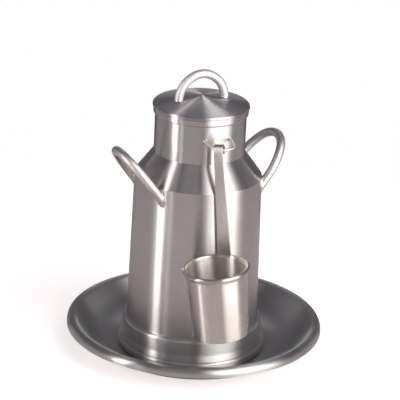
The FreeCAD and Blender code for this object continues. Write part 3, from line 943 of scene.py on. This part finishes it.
bpy.ops.mesh.spin(steps=BEAD_STEPS, angle=-(math.tau - 2 * notch), center=(0, 0, 0), axis=(0, 0, 1))
close_up()
map_turned(bead, bead_line, False)
bead.data.transform(on_cup)
finish_piece(bead, "ladle_rim_bead", "ladle", "ladle_pewter", crease=60)

# %% [markdown]
# ## Shared effects
# All the pieces are pewter and worked with the same tools, so two effects are built once as node groups.
# The first draws the lines that the polishing wheel left: noise squeezed hard across the map's U, and
# wrapped round V so that it has no seam. The second is the soft haze of handling and slow tarnish.

# %% Node helpers
def new_group(name, inputs, outputs):
    """Node group with named inputs and outputs, all single values."""
    group = bpy.data.node_groups.new(name, "ShaderNodeTree")
    for label, value in inputs.items():
        socket = group.interface.new_socket(label, in_out="INPUT", socket_type="NodeSocketFloat")
        socket.default_value = value
    for label in outputs:
        group.interface.new_socket(label, in_out="OUTPUT", socket_type="NodeSocketFloat")
    return group, group.nodes.new("NodeGroupInput"), group.nodes.new("NodeGroupOutput")


def math_node(tree, operation, first, second=None):
    """Math node on sockets or numbers; gives its result socket."""
    node = tree.nodes.new("ShaderNodeMath")
    node.operation = operation
    for socket, value in zip(node.inputs, (first, second)):
        if isinstance(value, (int, float)):
            socket.default_value = value
        elif value is not None:
            tree.links.new(value, socket)
    return node.outputs[0]


def times(tree, first, second):
    """Product of two sockets, or of a socket and a number."""
    return math_node(tree, "MULTIPLY", first, second)


def noise_node(tree, vector, scale, detail, roughness=0.5):
    """Noise on a vector socket; gives its value socket."""
    node = tree.nodes.new("ShaderNodeTexNoise")
    node.inputs["Scale"].default_value = scale
    node.inputs["Detail"].default_value = detail
    node.inputs["Roughness"].default_value = roughness
    tree.links.new(vector, node.inputs["Vector"])
    return node.outputs["Fac"]


# %% Node groups
wheel_lines, given, result = new_group(
    "Wheel lines", {"Along": 0.0, "Around": 0.0, "Lines": 260.0, "Reach": 2.0}, ("Fine", "Broad"))
turn = times(wheel_lines, given.outputs["Around"], math.tau)
across = times(wheel_lines, given.outputs["Along"], given.outputs["Lines"])
side_one, side_two = (
    times(wheel_lines, math_node(wheel_lines, wave, turn), given.outputs["Reach"])
    for wave in ("COSINE", "SINE")
)
for label, squeeze in (("Fine", 1.0), ("Broad", 0.16)):
    place = wheel_lines.nodes.new("ShaderNodeCombineXYZ")
    wheel_lines.links.new(times(wheel_lines, across, squeeze), place.inputs["X"])
    wheel_lines.links.new(side_one, place.inputs["Y"])
    wheel_lines.links.new(side_two, place.inputs["Z"])
    wheel_lines.links.new(noise_node(wheel_lines, place.outputs[0], 1.0, 2.0), result.inputs[label])

haze, given, result = new_group(
    "Handling haze", {"X": 0.0, "Y": 0.0, "Z": 0.0, "Patch": 16.0}, ("Cloud", "Speck"))
place = haze.nodes.new("ShaderNodeCombineXYZ")
for label in "XYZ":
    haze.links.new(times(haze, given.outputs[label], given.outputs["Patch"]), place.inputs[label])
haze.links.new(noise_node(haze, place.outputs[0], 1.0, 3.0), result.inputs["Cloud"])
haze.links.new(noise_node(haze, place.outputs[0], 14.0, 4.0, 0.6), result.inputs["Speck"])
print("groups:", [group.name for group in bpy.data.node_groups])

# %% [markdown]
# ## Pewter
# Brushed metal reflects a lamp as a streak that runs across the lines. Deep lines could smear the light so,
# but would render noisily. The Principled shader does it with its anisotropy, when its tangent follows the
# map's U, across the lines, and the lines then only need a very low bump. Tint and roughness vary a little,
# so that no surface is one flat grey.

# %% Parts of a metal material
def start_metal(name, patch):
    """Metal with the handling haze wired up: the material, its tree, its shader and the haze node."""
    material = bpy.data.materials.new(name)
    material.use_nodes = True
    tree = material.node_tree
    shader = tree.nodes["Principled BSDF"]
    shader.inputs["Metallic"].default_value = 1.0
    where = tree.nodes.new("ShaderNodeTexCoord")
    parts = tree.nodes.new("ShaderNodeSeparateXYZ")
    tree.links.new(where.outputs["Object"], parts.inputs[0])
    hazed = tree.nodes.new("ShaderNodeGroup")
    hazed.node_tree = haze
    hazed.inputs["Patch"].default_value = patch
    for label in "XYZ":
        tree.links.new(parts.outputs[label], hazed.inputs[label])
    return material, tree, shader, hazed


def set_tint(tree, shader, value, light, dark, span):
    """Colour that goes from the dark tint to the light one while a value crosses a span."""
    ramp = tree.nodes.new("ShaderNodeValToRGB")
    for index, colour in enumerate((dark, light)):
        ramp.color_ramp.elements[index].position = span[index]
        ramp.color_ramp.elements[index].color = (*colour, 1)
    tree.links.new(value, ramp.inputs["Fac"])
    tree.links.new(ramp.outputs["Color"], shader.inputs["Base Color"])


def set_roughness(tree, shader, value, low, high, span=(0.0, 1.0)):
    """Roughness that goes from low to high while a value crosses a span."""
    spread = tree.nodes.new("ShaderNodeMapRange")
    for label, number in (("From Min", span[0]), ("From Max", span[1]), ("To Min", low), ("To Max", high)):
        spread.inputs[label].default_value = number
    tree.links.new(value, spread.inputs["Value"])
    tree.links.new(spread.outputs["Result"], shader.inputs["Roughness"])


def set_bump(tree, shader, value, strength, height):
    """Relief from a value, with its height in millimetres."""
    bump = tree.nodes.new("ShaderNodeBump")
    bump.inputs["Strength"].default_value = strength
    bump.inputs["Distance"].default_value = height * MM
    tree.links.new(value, bump.inputs["Height"])
    tree.links.new(bump.outputs["Normal"], shader.inputs["Normal"])


# %% Pewter
WIDE_PATCH = 16.0
LINE_SHARE = 0.2
SPECK_SHARE = 0.3
LINE_HEIGHT = 0.02


def pewter(name, light, dark, rough, streak, depth):
    """Brushed pewter: two close tints, a roughness, how far highlights stretch and how deep lines look."""
    material, tree, shader, hazed = start_metal(name, WIDE_PATCH)
    shader.inputs["Anisotropic"].default_value = streak
    mapped = tree.nodes.new("ShaderNodeUVMap")
    mapped.uv_map = "brushing"
    split = tree.nodes.new("ShaderNodeSeparateXYZ")
    tree.links.new(mapped.outputs["UV"], split.inputs[0])
    brushed = tree.nodes.new("ShaderNodeGroup")
    brushed.node_tree = wheel_lines
    tree.links.new(split.outputs["X"], brushed.inputs["Along"])
    tree.links.new(split.outputs["Y"], brushed.inputs["Around"])
    lines = times(tree, brushed.outputs["Broad"], LINE_SHARE)
    cloud = times(tree, hazed.outputs["Cloud"], 1 - LINE_SHARE)
    set_tint(tree, shader, math_node(tree, "ADD", lines, cloud), light, dark, (0.36, 0.62))
    set_roughness(tree, shader, hazed.outputs["Cloud"], rough - 0.04, rough + 0.05, (0.3, 0.7))
    specks = times(tree, hazed.outputs["Speck"], SPECK_SHARE)
    set_bump(tree, shader, math_node(tree, "ADD", brushed.outputs["Fine"], specks), depth, LINE_HEIGHT)
    tangent = tree.nodes.new("ShaderNodeTangent")
    tangent.direction_type = "UV_MAP"
    tangent.uv_map = "brushing"
    tree.links.new(tangent.outputs["Tangent"], shader.inputs["Tangent"])
    return material


# %% Plain pewter
SMALL_PATCH = 60.0
SPECK_DEPTH = 0.3
SPECK_HEIGHT = 0.05


def plain_pewter(name, light, dark, rough):
    """Pewter for small soldered spots, which the wheel doesn't reach: no lines and no streak."""
    material, tree, shader, hazed = start_metal(name, SMALL_PATCH)
    set_tint(tree, shader, hazed.outputs["Cloud"], light, dark, (0.35, 0.65))
    set_roughness(tree, shader, hazed.outputs["Speck"], rough - 0.05, rough + 0.08)
    set_bump(tree, shader, hazed.outputs["Speck"], SPECK_DEPTH, SPECK_HEIGHT)
    return material


# %% [markdown]
# ## The finishes
# The pieces are finished apart before they are soldered, and the rods are only rubbed down. The foot ring,
# the inside of the cup, the ring and the lid's handle take lighter copies of the pewter, which is painted
# light, and the tray a darker copy, which is painted shade. One material for all would be simpler, but the
# pieces would then differ only by their lighting. The cup's wall takes two, and a face belongs to the
# inside if it lies nearer the axis than the middle of the sheet.

# %% Paint the pieces
def paint(material, *pieces):
    """Give pieces one material."""
    for piece in pieces:
        piece.data.materials.clear()
        piece.data.materials.append(material)


LINES = 0.12
FAINT = 0.05
RUBBED = 0.02
LADLE_TINTS = ((0.60, 0.56, 0.53), (0.52, 0.485, 0.455))
paint(pewter("Pewter_churn", (0.58, 0.545, 0.53), (0.50, 0.47, 0.455), 0.31, 1.0, LINES),
      body_wall, churn_floor, shoulder, neck, lip)
# A lighter copy of the churn's pewter: painted light on the foot ring.
paint(pewter("Pewter_foot", (0.75, 0.71, 0.69), (0.65, 0.61, 0.59), 0.34, 1.0, LINES), foot_ring)
paint(pewter("Pewter_lid", (0.545, 0.52, 0.515), (0.475, 0.45, 0.45), 0.38, 1.0, LINES),
      lid_cap, lid_collar)
# A darker copy of the pewter: painted shade on the tray.
paint(pewter("Pewter_tray", (0.485, 0.485, 0.465), (0.425, 0.425, 0.405), 0.32, 0.95, LINES), tray)
paint(pewter("Pewter_cup", *LADLE_TINTS, 0.27, 1.0, FAINT), cup_wall, cup_floor, bead)
paint(pewter("Pewter_strap", *LADLE_TINTS, 0.34, 1.0, LINES), strap)
paint(pewter("Pewter_handle", (0.62, 0.59, 0.58), (0.53, 0.505, 0.495), 0.45, 0.0, RUBBED), *handles)
# A lighter copy of the pewter: painted light on the ring and the lid's handle.
paint(pewter("Pewter_rod", (0.71, 0.68, 0.67), (0.62, 0.59, 0.58), 0.56, 0.0, RUBBED), ring, lid_handle)

# A much lighter copy of the ladle's pewter: painted light inside the cup.
cup_wall.data.materials.append(
    pewter("Pewter_cup_inside", (0.85, 0.79, 0.75), (0.76, 0.70, 0.66), 0.32, 1.0, LINES))
off_cup = on_cup.inverted()
# Faces of the inside take the copy with painted light.
for face in cup_wall.data.polygons:
    centre = off_cup @ face.center / MM
    if math.hypot(centre.x, centre.y) < cup_radius(-centre.z) - CUP_SHEET / 2:
        face.material_index = 1

solder_look = plain_pewter("Pewter_solder", (0.56, 0.53, 0.51), (0.44, 0.42, 0.40), 0.38)
paint(solder_look, ring_solder, lid_solder, *handle_solders)
for slot in frame["nodes"]["ladle_strap_solder"].material_slots:
    slot.material = solder_look
names = [material.name for material in bpy.data.materials]
print("materials:", [name for name in names if name.startswith("Pewter")])

# %% [markdown]
# ## Camera
# A long lens from a little above, turned to the left of the front. It is tipped a few degrees, so the
# churn leans in the frame. A constraint could aim it, but the lamps are placed by the same directions,
# so they are worked out here.

# %% Camera
TARGET = Vector((2.2, -1.1, 124.6)) * MM
CAMERA_TURN = math.radians(-27)
CAMERA_RISE = math.radians(21)
ROLL = math.radians(2.68)
CAMERA_DISTANCE = 1.68
FOCAL_LENGTH = 189
SENSOR_WIDTH = 36

back = Vector((
    math.sin(CAMERA_TURN) * math.cos(CAMERA_RISE),
    -math.cos(CAMERA_TURN) * math.cos(CAMERA_RISE),
    math.sin(CAMERA_RISE),
))
right = Vector((math.cos(CAMERA_TURN), math.sin(CAMERA_TURN), 0))
above = back.cross(right)
camera_right = right * math.cos(ROLL) + above * math.sin(ROLL)
camera_above = above * math.cos(ROLL) - right * math.sin(ROLL)
lens = bpy.data.cameras.new("Camera")
lens.lens = FOCAL_LENGTH
lens.sensor_width = SENSOR_WIDTH
camera = bpy.data.objects.new("Camera", lens)
bpy.context.collection.objects.link(camera)
aim = Matrix((camera_right, camera_above, back)).transposed().to_4x4()
camera.matrix_world = Matrix.Translation(TARGET + back * CAMERA_DISTANCE) @ aim
bpy.context.scene.camera = camera
print("camera at", [round(value, 3) for value in camera.matrix_world.translation])

# %% [markdown]
# ## Studio
# Metal shows its surroundings, so the lamps are placed by where their reflections fall. Point lamps would
# show as dots, so each is an upright panel. A tall narrow softbox stands on the left, with a weaker one
# that softens its edge and a thin strip beside it. The one on the right is wide and fades towards its
# edges, so it is built from panels one behind the other. Low weak panels at the front and the sides keep
# the walls of the churn lighter than its sloping faces, a high weak one in front gives those faces a little
# light, and two small lamps at the back light the far side of the lid and the near side of the tray.

# %% Lamps
LAMP_DISTANCE = 1.6
LAMP_BASE = 0.11
PANEL_GAP = 0.05
RIGHT_PANELS = (
    ((11, 88), (-16, 70), 0.7),
    ((18, 82), (-16, 62), 1.0),
    ((20, 77), (-16, 56), 1.0),
    ((27, 73), (-14, 56), 1.4),
)


def softbox(name, turns, rises, radiance, distance=LAMP_DISTANCE):
    """Upright area lamp between two turns from the camera, in degrees to its right, and two rises."""
    turn = math.radians(sum(turns) / 2)
    towards = Vector((back.x, back.y, 0)).normalized() * math.cos(turn) + right * math.sin(turn)
    low, high = (distance * math.tan(math.radians(rise)) for rise in rises)
    lamp = bpy.data.lights.new(name, "AREA")
    lamp.shape = "RECTANGLE"
    lamp.size = 2 * distance * math.tan(math.radians(turns[1] - turns[0]) / 2)
    lamp.size_y = high - low
    lamp.energy = radiance * math.pi * lamp.size * lamp.size_y
    stand = bpy.data.objects.new(name, lamp)
    bpy.context.collection.objects.link(stand)
    centre = towards * distance + Vector((0, 0, LAMP_BASE + (low + high) / 2))
    stand.matrix_world = Matrix.Translation(centre) @ towards.to_track_quat("Z", "Y").to_matrix().to_4x4()


softbox("Softbox_left", (-69, -57.5), (-20, 41), 5.9)
softbox("Softbox_left_fade", (-78, -57.5), (-20, 46), 0.8, 1.65)
softbox("Strip_left", (-47, -43), (-20, 35), 1.4)
for step, (turns, rises, radiance) in enumerate(RIGHT_PANELS):
    softbox("Softbox_right_%d" % (step + 1), turns, rises, radiance, LAMP_DISTANCE + PANEL_GAP * step)
softbox("Fill_front", (-52, 8), (-16, 18), 0.46, 2.2)
softbox("Fill_high", (-40, 4), (42, 66), 0.35, 1.9)
softbox("Fill_left", (-136, -78), (-16, 18), 0.30, 1.8)
softbox("Fill_right", (88, 140), (-16, 18), 0.30, 1.8)
softbox("Lamp_back", (166, 194), (30, 46), 0.85)
softbox("Lamp_back_low", (168, 192), (0, 9), 1.5, 1.9)
print("lamps:", [lamp.name for lamp in bpy.data.lights])

# %% [markdown]
# ## Room
# Between the lamps the metal mirrors the rest of the room, which is dim and a little cool. The camera is
# to see white behind the churn instead, and a white room would wash the metal out. So rays that come
# straight from the camera see white, and all others see the dim room.

# %% Room
world = bpy.data.worlds.new("Room")
world.use_nodes = True
room = world.node_tree
room_light = room.nodes["Background"]
room_light.inputs["Color"].default_value = (0.15, 0.14, 0.165, 1)
room_white = room.nodes.new("ShaderNodeBackground")
room_white.inputs["Color"].default_value = (1, 1, 1, 1)
seen = room.nodes.new("ShaderNodeLightPath")
choose = room.nodes.new("ShaderNodeMixShader")
room.links.new(seen.outputs["Is Camera Ray"], choose.inputs["Fac"])
room.links.new(room_light.outputs[0], choose.inputs[1])
room.links.new(room_white.outputs[0], choose.inputs[2])
room.links.new(choose.outputs[0], room.nodes["World Output"].inputs["Surface"])
bpy.context.scene.world = world

# %% [markdown]
# ## Floor
# A plain pale round table top keeps the soft shadow. The metal mirrors it too, so it is a real surface. A
# little glow that only the camera sees makes it near white, while to the metal it is as bright as its
# colour makes it.

# %% Floor
FLOOR_RADIUS = 0.45
FLOOR_SIDES = 96
FLOOR_GLOW = 0.6
start_clean()
bpy.ops.mesh.primitive_circle_add(vertices=FLOOR_SIDES, radius=FLOOR_RADIUS, fill_type="NGON",
                                  location=(0, 0, 0))
floor = bpy.context.object
floor.name = "Floor"
paper = bpy.data.materials.new("Paper")
paper.use_nodes = True
sheet = paper.node_tree
pale = sheet.nodes["Principled BSDF"]
pale.inputs["Base Color"].default_value = (0.84, 0.74, 0.72, 1)
pale.inputs["Roughness"].default_value = 1.0
pale.inputs["Specular IOR Level"].default_value = 0.0
lift = sheet.nodes.new("ShaderNodeEmission")
seen = sheet.nodes.new("ShaderNodeLightPath")
sheet.links.new(times(sheet, seen.outputs["Is Camera Ray"], FLOOR_GLOW), lift.inputs["Strength"])
both = sheet.nodes.new("ShaderNodeAddShader")
sheet.links.new(pale.outputs[0], both.inputs[0])
sheet.links.new(lift.outputs[0], both.inputs[1])
sheet.links.new(both.outputs[0], sheet.nodes["Material Output"].inputs["Surface"])
floor.data.materials.append(paper)
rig.stage(floor)

bpy.context.scene.view_settings.view_transform = "Standard"

# %% [markdown]
# ## Size
# The visual model has to keep the frame's size, so both boxes are written down side by side.

# %% Size and finish
json.dump({"cad": [list(corner) for corner in cad_box], "visual": [list(corner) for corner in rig.bounds()]},
          open("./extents.json", "w"))
print(open("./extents.json").read())
